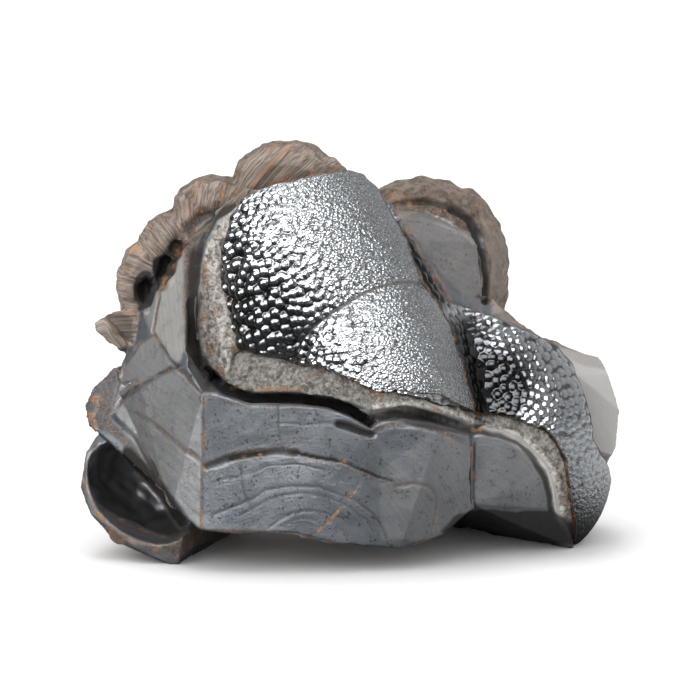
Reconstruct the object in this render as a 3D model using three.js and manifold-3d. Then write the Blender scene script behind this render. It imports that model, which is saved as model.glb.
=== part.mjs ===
// A hand-sized lump of botryoidal hematite, one natural piece, in millimetres.
// Z is up and Z = 0 is the surface that it rests on. Y runs away from the front, X to the right.
// The front carries a bright skin of swelling lobes covered in small domes. Under the skin lies a
// granular rind, then a deep groove, and then a broken face of banded ore. Brown fibrous crust
// wraps the top left, a hollow shell hangs at the lower left, and the back is a plain fracture.
import * as THREE from 'three';
import { ConvexGeometry } from 'three/addons/geometries/ConvexGeometry.js';
import { mergeVertices } from 'three/addons/utils/BufferGeometryUtils.js';
import Module from 'manifold-3d';

const wasm = await Module();
wasm.setup();

// Driving dimensions
const SIGHT_SLOPE = Math.tan(THREE.MathUtils.degToRad(9)); // outlines are drawn from 9 degrees above
const SKIN_STAND = 1.1; // how far the skin stands above the rind
const DOME_PITCH = 3.0; // spacing of the small domes on the skin
const DOME_RISE = 0.42; // height of a small dome
const CRUST_PITCH = 6.5; // spacing of the knobs on the brown crust
const CRUST_RISE = 0.5; // height of a knob
const CRUST_BACK = 18; // how far back the lobes under the skin reach
const HIDDEN_PITCH = 9; // facet size where a lobe is buried in the lump
const SCATTER = 0.6; // how unevenly the domes stand, as a part of their spacing
const CELL_SHARE = 0.866; // area of a six-sided cell over the square of its pitch
const WELD = 1e-4; // vertices closer than this are one vertex
const FAR = 70; // longer than anything in the lump, for cutting

// Small helpers

function vector(point) {
  return new THREE.Vector3(...point);
}

function solidOf(geometry) {
  geometry.deleteAttribute('normal');
  geometry.deleteAttribute('uv');
  const merged = mergeVertices(geometry, WELD);
  return new wasm.Manifold(new wasm.Mesh({
    numProp: 3,
    vertProperties: new Float32Array(merged.attributes.position.array),
    triVerts: new Uint32Array(merged.index.array),
  }));
}

function joined(solids) {
  return solids.reduce((whole, piece) => whole.add(piece));
}

// A broken lump with flat faces: the convex body round its corners
function rock(...corners) {
  return solidOf(new ConvexGeometry(corners.map(vector)));
}

// A repeatable number from 0 to 1 for each whole number
function scatter(index) {
  const value = Math.sin(index * 127.1 + 11.7) * 43758.5453;
  return value - Math.floor(value);
}

// Evenly spread directions, each nudged by a part of their spacing
function directions(count, jitter) {
  const golden = Math.PI * (3 - Math.sqrt(5));
  const nudge = jitter * Math.sqrt(4 * Math.PI / count);
  return Array.from({ length: count }, (_, index) => {
    const height = 1 - 2 * (index + 0.5) / count;
    const ring = Math.sqrt(1 - height * height);
    const angle = index * golden;
    return new THREE.Vector3(
      ring * Math.cos(angle) + nudge * (scatter(index) - 0.5),
      height + nudge * (scatter(index + 5000) - 0.5),
      ring * Math.sin(angle) + nudge * (scatter(index + 9000) - 0.5),
    ).normalize();
  });
}

// Joins points on a round body so that each becomes the top of a low six-sided dome
function domedFaces(points) {
  const hull = mergeVertices(bareHull(points), WELD);
  const corners = Array.from({ length: hull.attributes.position.count }, (_, index) =>
    new THREE.Vector3().fromBufferAttribute(hull.attributes.position, index));
  const across = new Map();
  const index = hull.index.array;
  const centres = [];
  for (let face = 0; face < index.length; face += 3) {
    const trio = [index[face], index[face + 1], index[face + 2]];
    const centre = trio.reduce((sum, one) => sum.add(corners[one]), new THREE.Vector3());
    centres.push(centre.divideScalar(3));
    trio.forEach((from, side) => across.set(`${from},${trio[(side + 1) % 3]}`, centres.length - 1));
  }
  const faces = [];
  for (const [side, own] of across) {
    const [from, to] = side.split(',').map(Number);
    const other = across.get(`${to},${from}`);
    faces.push([corners[from], centres[other], centres[own]]);
  }
  return { faces, tops: new Set(corners) };
}

function bareHull(points) {
  const hull = new ConvexGeometry(points);
  hull.deleteAttribute('normal');
  return hull;
}

// A swelling lobe: a round body with radii along its own axes, boxier as fullness grows,
// covered in low domes at the given pitch where it faces the viewer
function lobe({ centre, radii, turn = [0, 0, 0], fullness = 2, pitch, rise, sink = 0, shown = 0.25 }) {
  const spin = new THREE.Quaternion().setFromEuler(
    new THREE.Euler(...turn.map(THREE.MathUtils.degToRad)));
  const size = Math.cbrt(radii[0] * radii[1] * radii[2]);
  const countAt = (spacing) => Math.round(4 * Math.PI * (size / spacing) ** 2 / CELL_SHARE);
  const isShown = (direction) => direction.clone().applyQuaternion(spin).y < shown;
  const points = [
    ...directions(countAt(pitch), SCATTER).filter(isShown),
    ...directions(countAt(HIDDEN_PITCH), 0).filter((direction) => !isShown(direction)),
  ];
  const { faces, tops } = domedFaces(points);
  const place = (direction, height) => {
    const unit = direction.clone().normalize();
    const reach = (Math.abs(unit.x) ** fullness + Math.abs(unit.y) ** fullness
      + Math.abs(unit.z) ** fullness) ** (-1 / fullness);
    const length = unit.clone().multiplyScalar(reach);
    return length.multiply(vector(radii)).add(unit.multiplyScalar(height))
      .applyQuaternion(spin).add(vector(centre));
  };
  const placed = new Map();
  const positions = [];
  for (const corner of faces.flat()) {
    if (!placed.has(corner)) {
      placed.set(corner, place(corner, (tops.has(corner) ? 0 : -rise) - sink));
    }
    positions.push(...placed.get(corner).toArray());
  }
  const geometry = new THREE.BufferGeometry();
  geometry.setAttribute('position', new THREE.Float32BufferAttribute(positions, 3));
  return solidOf(geometry);
}

// A straight cut or block whose outline, given as X and Z at the depth "at", is seen
// from slightly above the front, and which runs from the depth near to the depth far
function sightBlock(outline, { at, near, far }) {
  const shape = new THREE.Shape(outline.map(([x, z]) => new THREE.Vector2(x, z)));
  const geometry = new THREE.ExtrudeGeometry(shape, { depth: far - near, bevelEnabled: false });
  const position = geometry.attributes.position;
  for (let index = 0; index < position.count; index += 1) {
    const y = far - position.getZ(index);
    const z = position.getY(index) - (y - at) * SIGHT_SLOPE;
    position.setXYZ(index, position.getX(index), y, z);
  }
  return solidOf(geometry);
}

// The outline of a band that follows a path of [x, z, width]
function band(path) {
  const sides = [[], []];
  path.forEach(([x, z, width], index) => {
    const before = path[Math.max(index - 1, 0)];
    const after = path[Math.min(index + 1, path.length - 1)];
    const along = new THREE.Vector2(after[0] - before[0], after[1] - before[1]).normalize();
    sides[0].push([x - along.y * width / 2, z + along.x * width / 2]);
    sides[1].unshift([x + along.y * width / 2, z - along.x * width / 2]);
  });
  return [...sides[0], ...sides[1]].reverse();
}

function ball(centre, radii, turn = [0, 0, 0], detail = 4) {
  const geometry = new THREE.IcosahedronGeometry(1, detail);
  geometry.scale(...radii);
  geometry.applyQuaternion(new THREE.Quaternion().setFromEuler(
    new THREE.Euler(...turn.map(THREE.MathUtils.degToRad))));
  geometry.translate(...centre);
  return solidOf(geometry);
}

// The bright skin and the rind under it

const UPPER_LOBE = { centre: [-6, 6, 57], radii: [25, 30, 35], turn: [-8, -36, 6], fullness: 2.3 };
const LEFT_LOBE = { centre: [-13, 4, 51], radii: [17, 26.5, 19], fullness: 2.5 };
const LOWER_LOBE = { centre: [7, 5, 34.8], radii: [23.5, 36, 34.5], turn: [-12, -22, -2], fullness: 2.4 };
const SIDE_LOBE = { centre: [33, -1, 38], radii: [19, 15, 16], turn: [0, 15, 0] };
const FOOT_LOBE = { centre: [37, 4, 21], radii: [22, 24, 26], fullness: 2.4 };
const STRIP_LOBE = { centre: [11, 8, 58], radii: [10.5, 13, 24], turn: [0, -30, 0] };
const FRONT_LOBES = [UPPER_LOBE, LEFT_LOBE, LOWER_LOBE];
const RIGHT_LOBES = [SIDE_LOBE, FOOT_LOBE, STRIP_LOBE];

const FRONT_DEPTH = -24; // where the front outlines are drawn
const SKIN_OUTLINE = [
  [-23.4, 80.4], [-26, 74.9], [-27.5, 69.5], [-28.2, 63], [-28.3, 56.6], [-27.7, 50.1],
  [-25.3, 46.8], [-20.4, 45.9], [-14, 44.4], [-6.4, 42.7], [0, 40.5], [5.4, 37.7], [11.8, 38.1],
  [19.8, 37], [26.7, 33.7], [27, 44.6], [22.5, 56.3], [18.4, 64.1], [13.4, 70.6], [9.8, 78.1],
  [4.7, 83], [-0.4, 86.2], [-6.4, 85.3], [-14.9, 83.2],
];
const RIND_OUTLINE = [
  [-23, 81.7], [-28.5, 76.6], [-31.4, 70.6], [-32.7, 59.8], [-33.4, 49], [-30.7, 43.5],
  [-26.2, 39.2], [-21.5, 37.9], [-10.7, 38.1], [-5.4, 37.2], [0, 34.8], [4.5, 33.5], [11, 34.8],
  [15.5, 33.7], [19.8, 32.4], [26.7, 29.8], [28, 36], [22, 55], [12, 71], [4, 82], [-4.3, 84.5],
];
const RIGHT_DEPTH = -17; // where the right outlines are drawn
const RIGHT_SKIN_OUTLINE = [
  [10.8, 73], [13.4, 70.8], [16.2, 65.8], [18.8, 61.4], [21.2, 56.6], [26, 55.5], [30.3, 53.6],
  [36.8, 50.7], [42.2, 48.3], [46, 45.7], [48.8, 42.4], [50.6, 38], [52.2, 32.5], [53.3, 25.9],
  [55.8, 21.4], [59, 15.9], [59, 6], [54, -2], [49.7, 2.3], [49.4, 8.1], [48.5, 12.5],
  [47.1, 20.3], [44.9, 25.4], [42.2, 28.1], [37.9, 29.8], [31.5, 31.6], [27, 32.5], [10, 36],
];
const RIGHT_RIND_OUTLINE = [
  [10.8, 72], [20.8, 55.6], [36.8, 49.9], [45.5, 45.3], [50.4, 36.9], [52.7, 25.9], [55.8, 19.2],
  [57, 12.5], [53, -2], [49, 2.3], [48.3, 8.5], [44.8, 10.5], [44.1, 16.3], [42.3, 20.5],
  [39.2, 24.1], [36.1, 26.3], [32.9, 27.4], [27, 28.5], [10, 36],
];

function crust(lobes, outline, at, { pitch, rise, sink }) {
  const body = joined(lobes.map((one) => lobe({ ...one, pitch, rise, sink })));
  return body.intersect(sightBlock(outline, { at, near: -FAR, far: CRUST_BACK }));
}

function brightSkin() {
  const shape = { pitch: DOME_PITCH, rise: DOME_RISE, sink: 0 };
  return crust(FRONT_LOBES, SKIN_OUTLINE, FRONT_DEPTH, shape)
    .add(crust(RIGHT_LOBES, RIGHT_SKIN_OUTLINE, RIGHT_DEPTH, shape));
}

function rind() {
  const shape = { pitch: HIDDEN_PITCH, rise: 0.2, sink: SKIN_STAND };
  const leftBand = rock(
    [-22.5, -9, 80], [-29.1, -11, 75.1], [-31.9, -12, 69.1], [-33.3, -12, 58.1], [-34, -13, 47.3],
    [-31, -16.5, 42.3], [-26.3, -21.5, 38.8], [-22, -13, 47], [-20, -9, 72],
    [-22, 8, 78], [-30, 8, 64], [-30, 8, 40], [-12, 8, 38],
  );
  const lowBand = rock(
    [-31, -16.5, 42.3], [-26.3, -21.5, 38.8], [-21.5, -23.8, 37.9], [-10.7, -26.4, 38.1],
    [-4, -28.6, 36.6], [-26, -15.8, 47], [-20.4, -19.4, 46.2], [-14, -21.6, 44.4],
    [-6.4, -24.6, 42.7], [-2, -26.4, 41], [-28, 6, 46], [-28, 6, 38], [0, 6, 36], [0, 6, 44],
  );
  return joined([
    leftBand,
    lowBand,
    crust(FRONT_LOBES, RIND_OUTLINE, FRONT_DEPTH, shape),
    crust(RIGHT_LOBES, RIGHT_RIND_OUTLINE, RIGHT_DEPTH, shape),
  ]);
}

// The broken ore in front

function bandedBody() {
  return rock(
    [-31, -31.5, 38.9], [-21.3, -32, 36.8], [-4.3, -32.2, 35.8], [4.7, -32, 31.6], [19.2, -30, 30.3],
    [26.4, -25.5, 28.2], [-32.1, -32.5, 9.3], [-24.6, -33.5, 9.1], [-12.8, -34, 9.2],
    [0, -33, 6.1], [10.7, -31.2, 4.9], [19.4, -28, 6.9], [26.6, -24.5, 12.5],
    [-36, 0, 38], [26, 0, 34], [-30, 6, 10], [0, 6, 7], [24, 6, 8], [-2, -26, 37],
  );
}

function leftFacets() {
  return rock(
    [-34.8, -27, 44], [-45.6, -17, 38.7], [-50.5, -10, 35.3], [-31.2, -31.8, 38.6],
    [-31.5, -32.4, 24.3], [-48.1, -14, 28.5], [-42.8, -22, 23.5], [-40.5, -26, 18.3],
    [-38.2, -29, 13.6], [-32.3, -32.4, 9.3], [-46, 4, 36], [-42, 8, 20], [-30, 8, 12], [-30, 4, 42],
  );
}

function upperFacets() {
  return rock(
    [-34.8, -26.5, 43.8], [-34.4, -18, 57], [-30.6, -10, 71], [-33.2, -7, 70.2], [-39.4, -8, 62],
    [-42.4, -14, 49], [-48.8, -8, 44.3], [-50.6, -8, 36.8], [-45.5, -6, 55.1], [-28, 6, 74],
    [-28, 0, 40], [-46, 8, 58], [-48, 8, 42], [-40, 10, 36],
  );
}

function leftLedges() {
  const lip = rock(
    [-52, -5, 39.8], [-56.9, -6, 35.5], [-58.6, -8, 31.6], [-57.1, -11, 28.1], [-52.5, -14.5, 26],
    [-45.6, -20.5, 23.6], [-39.8, -27, 16.3], [-50, 8, 38], [-54, 6, 31], [-44, 8, 26], [-40, 0, 22],
    [-44, -10, 34],
  );
  const nose = rock(
    [-56.3, -4, 49.2], [-55.8, -5.5, 48], [-52.4, -2, 51.8], [-52.6, -5, 45.9], [-50.5, -4, 43.3],
    [-46.6, -2, 54], [-44, 8, 56], [-44, 8, 42], [-42, -8, 48], [-50, 6, 46],
  );
  return lip.add(nose);
}

function rightBlock() {
  const front = rock(
    [26.8, -22, 28.8], [35.7, -21, 26.9], [39.2, -20, 24.4], [42.6, -19, 20.6], [43.9, -19, 16.7],
    [44.9, -18, 10.8], [26.8, -22, 12.6], [49, -9.5, 0], [51, -6, 0], [34, 4.5, 0], [22, 20, 0],
    [46, 22, 0], [52, 4, 8], [24.7, 0, 3.5], [41.9, -12, 6.2], [44, 8, 32], [26, 8, 30],
    [46.1, -14, 7],
  );
  const top = rock(
    [38, -2, 46], [47.2, 8, 43.3], [56.1, 6, 40.2], [57.7, 3, 36.9], [60.4, 2, 29.1],
    [59.8, 3, 21.1], [57.2, 4, 16], [56, 6, 10], [50.5, -1, 37.5], [50, 4, 6], [46, 24, 34],
    [52, 22, 24], [50, 20, 10], [34, 20, 42], [30, 8, 40],
  );
  return front.add(top);
}

// The brown crust along the top, and the broken lobe behind the skin

function topCrust() {
  const shape = { pitch: CRUST_PITCH, rise: CRUST_RISE, shown: 2 };
  const knobs = joined([
    lobe({ centre: [-14.5, 11, 71.5], radii: [12.5, 15, 17.2], fullness: 2.7, ...shape }),
    lobe({ centre: [-8, 11, 69], radii: [9.6, 14, 17.2], turn: [0, 10, 0], ...shape }),
    lobe({ centre: [-30, 10, 68.2], radii: [10.5, 13, 12.6], fullness: 2.6, ...shape }),
    lobe({ centre: [-36.8, 9, 62], radii: [10.2, 13, 12.6], turn: [0, -40, 0], ...shape }),
    lobe({ centre: [-41.8, 8, 56], radii: [10.6, 13, 12], fullness: 2.4, ...shape }),
    lobe({ centre: [-33, 20, 54], radii: [14, 15, 18], ...shape }),
    lobe({ centre: [-12, 23, 58], radii: [18, 15, 20], ...shape }),
  ]);
  const brokenFront = rock(
    [-FAR, -FAR, -FAR], [FAR, -FAR, -FAR], [-FAR, -FAR, 120], [FAR, -FAR, 120],
    [-FAR, -5, -FAR], [FAR, 1, -FAR], [-FAR, -2, 120], [FAR, 4, 120],
  );
  return knobs.subtract(brokenFront);
}

function backLobe() {
  const whole = lobe({
    centre: [16.6, 24, 56.6], radii: [20.4, 17, 22.8], fullness: 2.1, pitch: CRUST_PITCH,
    rise: CRUST_RISE, shown: 2,
  });
  const brokenFront = rock(
    [-10, 4, 30], [60, 4, 30], [-10, 9, 90], [60, 14, 90], [60, 2, 50],
    [-10, -40, 30], [60, -40, 30], [-10, -40, 90], [60, -40, 90],
  );
  const scoop = ball([13.5, 8, 59.5], [15.6, 14, 14.6], [0, 20, 0]);
  const inner = rock(
    [9.4, 13, 73], [18, 14, 72.4], [24.8, 14, 70.4], [28.6, 12, 66.3], [29.8, 10, 61.4],
    [29.4, 8, 56.5], [27.6, 4, 53], [23.2, -2, 52.5], [19.4, -3, 55.1], [13.3, 2, 67.4],
    [10.7, 6, 71.4], [28, 9, 66], [8, 24, 71], [20, 26, 68], [28, 24, 60], [24, 16, 44], [6, 4, 50],
  );
  const shoulder = rock(
    [27, 3, 53.4], [30.8, 10, 53.7], [36.7, 10, 49.2], [39.9, 6, 45.9], [33.3, 0, 49.3],
    [25.5, -2, 52.3], [20, 10, 40], [36, 20, 46], [38, 16, 36], [28, -4, 40],
  );
  return joined([whole.subtract(brokenFront).subtract(scoop), inner, shoulder]);
}

// The bulk behind, with shell-shaped bites where the lump broke from its vein

function bulk() {
  const body = rock(
    [-42, 0, 22], [-46, 4, 38], [-42, 4, 58], [-26, 8, 72], [-6, 8, 76], [10, 14, 68], [25, 18, 58],
    [36, 14, 44], [50, 8, 34], [53, 6, 14], [-34, 28, 12], [-40, 26, 40], [-28, 32, 58],
    [-8, 36, 66], [16, 40, 64], [28, 38, 56], [42, 32, 38], [44, 30, 12], [12, 43, 34],
    [-16, 42, 28], [14, 40, 8], [-20, 22, 6], [30, 8, 6], [6, 8, 10], [-6, -20, 44], [20, -16, 34],
  );
  const bites = [
    bite([-40, 28, 40], [-1, 0.6, 0.1], 55, 6),
    bite([-16, 40, 40], [-0.25, 1, 0.1], 60, 6),
    bite([14, 42, 44], [0.15, 1, 0.2], 46, 6),
    bite([38, 34, 40], [0.7, 0.75, 0.3], 50, 6),
    bite([-24, 36, 16], [-0.3, 0.9, -0.4], 50, 6),
    bite([26, 38, 18], [0.35, 1, -0.2], 40, 6),
    bite([52, 22, 22], [1, 0.5, 0.2], 40, 3),
  ];
  return bites.reduce((left, one) => left.subtract(one), body);
}

// A shallow round bite of the given depth, taken at a place from an outward side
function bite(at, outward, radius, depth) {
  const centre = vector(outward).normalize().multiplyScalar(radius - depth).add(vector(at));
  return ball(centre.toArray(), [radius, radius, radius], [10, 20, 30], 3);
}

// The hollow shell at the lower left, on which that side stands

function hollowShell() {
  const wall = rock(
    [-55.3, -12, 26], [-57.8, -14, 22.3], [-58.9, -16, 15], [-56.5, -20, 10], [-51.3, -21, 4.4],
    [-46.5, -24, 3.4], [-39.4, -25, 0], [-37.2, -25.5, 0], [-36, -26, 6], [-40, -25, 20],
    [-48, -14, 27], [-53, 4, 24], [-52, 4, 10], [-43, 8, 0], [-25.6, 11, 0], [-30, 2, 0],
    [-26, 6, 10], [-38, 8, 28], [-35, -22, 2.8], [-35.6, -11, 0],
  );
  const hollow = ball([-46, -22, 15.5], [14, 17, 9.2], [0, 38, 0]);
  return wall.subtract(hollow);
}

function backFoot() {
  return rock(
    [0, 22, 0], [16, 20, 0], [14, 32, 0], [2, 32, 0], [-8, 18, 14], [22, 16, 14], [20, 38, 14],
    [-8, 36, 14],
  );
}

// Cuts

const GROOVE_DEPTH = -28; // where the groove's path is drawn
const GROOVE_PATH = [
  [-31.4, 72.6, 1], [-33.8, 64.6, 1.4], [-34.4, 56.1, 1.9], [-34, 47.4, 2.3], [-30.9, 41.9, 2.4],
  [-26.7, 38.7, 2.4], [-21.4, 37, 2.6], [-10.7, 36.8, 2.4], [-4.3, 36, 2.3], [0.4, 34.1, 2],
  [4.9, 31.2, 1.6],
];
const SECOND_GROOVE_PATH = [[4, 32, 1], [10.7, 33.6, 1], [17.1, 32.1, 1], [25.6, 29.4, 1]];
const LEDGE_PATH = [
  [-30.9, 22.6, 1.2], [-23.4, 24.6, 1.3], [-12.8, 25.4, 1.1], [-1.1, 23.7, 1], [8.5, 18.9, 0.8],
];

function cuts() {
  const groove = sightBlock(band(GROOVE_PATH), { at: GROOVE_DEPTH, near: -FAR, far: -17 });
  const second = sightBlock(band(SECOND_GROOVE_PATH), { at: GROOVE_DEPTH, near: -FAR, far: -28 });
  const ledge = sightBlock(band(LEDGE_PATH), { at: -32, near: -FAR, far: -31.9 });
  const pits = joined([
    ball([-45.2, -5, 57], [1.7, 7, 3.4], [0, 12, 0], 2),
    ball([-41.4, -5, 61.6], [1.4, 7, 3], [0, 22, 0], 2),
    ball([-38.6, -6, 65.8], [1.1, 6, 2], [0, 30, 0], 2),
  ]);
  const arch = rock(
    [-27, -60, -5], [-27, -60, 8.2], [-20, -60, 9.3], [-10, -60, 9], [2, -60, 5], [8, -60, -5],
    [-25, 60, -5], [-23, 60, 7], [-16, 60, 8], [-10, 60, 6], [-7, 60, -5],
  );
  return joined([groove, second, ledge, pits, arch]);
}

function hematite() {
  const brokenLump = joined([
    bulk(), bandedBody(), leftFacets(), upperFacets(), leftLedges(), rightBlock(), rind(), topCrust(),
    backLobe(), backFoot(), hollowShell(),
  ]);
  const aboveRest = solidOf(new THREE.BoxGeometry(4 * FAR, 4 * FAR, 2 * FAR).translate(0, 0, FAR));
  return brokenLump.subtract(cuts()).add(brightSkin()).intersect(aboveRest);
}

// The finished surface, with its origin under the middle of the lump
function geometryOf(solid) {
  const mesh = solid.getMesh();
  const geometry = new THREE.BufferGeometry();
  geometry.setAttribute('position', new THREE.BufferAttribute(mesh.vertProperties, 3));
  geometry.setIndex(new THREE.BufferAttribute(mesh.triVerts, 1));
  geometry.computeBoundingBox();
  const middle = geometry.boundingBox.getCenter(new THREE.Vector3());
  return geometry.translate(-middle.x, -middle.y, -geometry.boundingBox.min.z);
}

const ore = new THREE.MeshStandardMaterial({ color: 0x5c6066, roughness: 0.38, metalness: 0.75 });
const lump = new THREE.Mesh(geometryOf(hematite()), ore);
lump.name = 'hematite_lump';

const specimen = new THREE.Group();
specimen.name = 'botryoidal_hematite';
specimen.add(lump);

export default specimen;
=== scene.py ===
"""The looks of a hand-sized lump of botryoidal hematite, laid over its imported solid.

Shapes are worked out in millimetres, in the frame in which the lump was drawn: Z is up, X runs to
the right and Y away from the bright front. A finished mesh goes to metres and to its real place.
"""

import math

import bmesh
import bpy
import numpy as np
from mathutils import Matrix, Vector
from mathutils.bvhtree import BVHTree


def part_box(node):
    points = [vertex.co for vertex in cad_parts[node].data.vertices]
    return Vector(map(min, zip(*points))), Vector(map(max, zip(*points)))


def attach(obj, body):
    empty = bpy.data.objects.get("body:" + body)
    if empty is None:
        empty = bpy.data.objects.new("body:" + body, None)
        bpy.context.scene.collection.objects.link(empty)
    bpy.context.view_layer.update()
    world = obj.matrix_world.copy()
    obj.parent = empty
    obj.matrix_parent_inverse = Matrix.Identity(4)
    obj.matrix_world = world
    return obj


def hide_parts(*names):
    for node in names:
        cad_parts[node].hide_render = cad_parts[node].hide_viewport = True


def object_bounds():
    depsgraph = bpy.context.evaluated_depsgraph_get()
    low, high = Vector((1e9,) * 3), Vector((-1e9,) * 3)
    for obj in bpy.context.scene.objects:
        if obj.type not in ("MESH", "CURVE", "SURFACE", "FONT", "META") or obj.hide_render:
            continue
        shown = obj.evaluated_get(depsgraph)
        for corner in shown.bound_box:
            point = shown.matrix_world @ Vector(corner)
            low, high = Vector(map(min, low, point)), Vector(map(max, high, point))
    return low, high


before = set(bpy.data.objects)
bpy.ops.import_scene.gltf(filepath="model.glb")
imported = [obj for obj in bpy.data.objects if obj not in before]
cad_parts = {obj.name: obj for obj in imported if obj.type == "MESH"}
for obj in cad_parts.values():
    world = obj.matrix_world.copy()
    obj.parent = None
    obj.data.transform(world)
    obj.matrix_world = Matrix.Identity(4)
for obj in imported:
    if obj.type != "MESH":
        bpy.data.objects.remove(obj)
cad_low, cad_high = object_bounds()

LUMP = "hematite_lump"

# Where the drawing's frame lies: the lump's left-most and front-most places in it
DRAWN_LEFT = -58.9
DRAWN_FRONT = -34.0
box_low, box_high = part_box(LUMP)
SHIFT = np.array([DRAWN_LEFT - box_low.x * 1000, DRAWN_FRONT - box_low.y * 1000, 0.0])

# The camera: nine degrees above the middle of the lump, 700 mm away
SIGHT_SLOPE = math.tan(math.radians(9))
SIGHT_DISTANCE = 700.0
SIGHT_TARGET = np.array([0.0, 0.0, 43.0])
SIGHT_LENS = 162.0
SENSOR = 36.0
PICTURE = 700

# Fineness of the meshes
SKIN_MESH = 0.24
LUMP_MESH = 0.66
# The skin is left out where it is farther than this from the solid
SKIN_REACH = 2.2
# How far its rim is turned in, and how deep the lump's surface is tucked under it
RIM_DEPTH = 1.7
TUCK = 1.4


class Lobe:
    """A swelling of the bright skin: a round body, boxier as its fullness grows."""

    def __init__(self, centre, radii, turn=(0, 0, 0), fullness=2.0):
        self.centre = np.array(centre, float)
        self.radii = np.array(radii, float)
        x, y, z = (math.radians(angle) for angle in turn)
        spin = Matrix.Rotation(x, 3, "X") @ Matrix.Rotation(y, 3, "Y") @ Matrix.Rotation(z, 3, "Z")
        self.spin = np.array(spin)
        self.fullness = fullness

    def over(self, points):
        """How far each point is outside the lobe, and which way is outward there."""
        local = (points - self.centre) @ self.spin / self.radii
        size = np.abs(local)
        reach = (size ** self.fullness).sum(1) ** (1 / self.fullness)
        slope = np.sign(local) * (size / reach[:, None]) ** (self.fullness - 1) / self.radii
        slope = slope @ self.spin.T
        steep = np.linalg.norm(slope, axis=1)
        return (reach - 1) / steep, slope / steep[:, None]

    def surface(self, directions):
        size = np.abs(directions)
        reach = (size ** self.fullness).sum(1) ** (-1 / self.fullness)
        return directions * reach[:, None] * self.radii @ self.spin.T + self.centre


UPPER_LOBE = Lobe((-6, 6, 57), (25, 30, 35), (-8, -36, 6), 2.3)
LEFT_LOBE = Lobe((-13, 4, 51), (17, 26.5, 19), fullness=2.5)
LOWER_LOBE = Lobe((7, 5, 34.8), (23.5, 36, 34.5), (-12, -22, -2), 2.4)
SIDE_LOBE = Lobe((33, -1, 38), (19, 15, 16), (0, 15, 0))
FOOT_LOBE = Lobe((37, 4, 21), (22, 24, 26), fullness=2.4)
STRIP_LOBE = Lobe((11, 8, 58), (10.5, 13, 24), (0, -30, 0))
FRONT_LOBES = [UPPER_LOBE, LEFT_LOBE, LOWER_LOBE]
RIGHT_LOBES = [SIDE_LOBE, FOOT_LOBE, STRIP_LOBE, UPPER_LOBE, LOWER_LOBE]


# Points and meshes

def to_place(points):
    """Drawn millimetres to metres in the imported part's frame."""
    return (points - SHIFT) / 1000


def seen_at(points):
    """Where drawn points show in the picture, in pixels from its top left corner."""
    slope = math.atan(SIGHT_SLOPE)
    forward = np.array([0, math.cos(slope), -math.sin(slope)])
    up = np.array([0, math.sin(slope), math.cos(slope)])
    away = points - (SIGHT_TARGET - forward * SIGHT_DISTANCE)
    scale = SIGHT_LENS / SENSOR * PICTURE / (away @ forward)
    return np.stack([PICTURE / 2 + away[:, 0] * scale, PICTURE / 2 - away @ up * scale], 1)


def path_distance(spots, path, closed=False):
    """Distance of flat points from a path, and the nearest place on it."""
    path = np.array(path, float)
    ends = np.roll(path, -1, 0) if closed else path[1:]
    best = np.full(len(spots), 1e9)
    nearest = np.zeros_like(spots)
    for start, end in zip(path, ends):
        along = end - start
        share = np.clip((spots - start) @ along / (along @ along), 0, 1)
        place = start + share[:, None] * along
        far = np.linalg.norm(spots - place, axis=1)
        closer = far < best
        best[closer] = far[closer]
        nearest[closer] = place[closer]
    return best, nearest


def inside(spots, outline):
    """Which flat points lie inside a closed outline."""
    result = np.zeros(len(spots), bool)
    outline = np.array(outline, float)
    for (x0, y0), (x1, y1) in zip(outline, np.roll(outline, -1, 0)):
        if y0 == y1:
            continue
        crosses = (spots[:, 1] > min(y0, y1)) & (spots[:, 1] <= max(y0, y1))
        level = x0 + (spots[:, 1] - y0) * (x1 - x0) / (y1 - y0)
        result ^= crosses & (spots[:, 0] < level)
    return result


def within(spots, outline, soft):
    """1 inside a closed outline and 0 outside it, with an edge of the given softness."""
    far, _ = path_distance(spots, outline, closed=True)
    signed = np.where(inside(spots, outline), far, -far)
    return np.clip(signed / soft + 0.5, 0, 1)


def smooth(low, high, value):
    share = np.clip((value - low) / (high - low), 0, 1)
    return share * share * (3 - 2 * share)


def hashed(cells):
    mixed = cells[:, 0] * 73856093 ^ cells[:, 1] * 19349663 ^ cells[:, 2] * 83492791
    mixed = (mixed ^ (mixed >> 13)) * 1274126177 & 0xFFFFFFFF
    mixed = (mixed ^ (mixed >> 16)) * 2246822519 & 0xFFFFFFFF
    return mixed / 0x100000000


def swells(points, size, seed=0):
    """Smooth noise from -1 to 1, its swells about the given size across."""
    spot = points / size + seed * 17.31
    cell = np.floor(spot).astype(np.int64)
    part = spot - cell
    part = part * part * (3 - 2 * part)
    total = np.zeros(len(points))
    for corner in np.ndindex(2, 2, 2):
        weight = np.where(np.array(corner, bool), part, 1 - part).prod(1)
        total += hashed(cell + corner) * weight
    return total * 2 - 1


def roughened(outline, amount, seed):
    """A closed outline cut into short steps and shaken a little, as a broken edge is."""
    outline = np.array(outline, float)
    steps = []
    for start, end in zip(outline, np.roll(outline, -1, 0)):
        count = max(1, round(np.linalg.norm(end - start) / 0.7))
        steps += [start + (end - start) * step / count for step in range(count)]
    steps = np.array(steps)
    flat = np.concatenate([steps, np.zeros((len(steps), 1))], 1)
    shake = [swells(flat, 1.6, seed + side) + 0.7 * swells(flat, 4.5, seed + 2 + side)
             for side in (0, 1)]
    return steps + amount * np.stack(shake, 1)


def mesh_of(name, points, faces):
    mesh = bpy.data.meshes.new(name)
    mesh.from_pydata(points.tolist(), [], faces if isinstance(faces, list) else faces.tolist())
    return mesh


def points_of(mesh):
    points = np.empty(len(mesh.vertices) * 3)
    mesh.vertices.foreach_get("co", points)
    return points.reshape(-1, 3)


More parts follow.
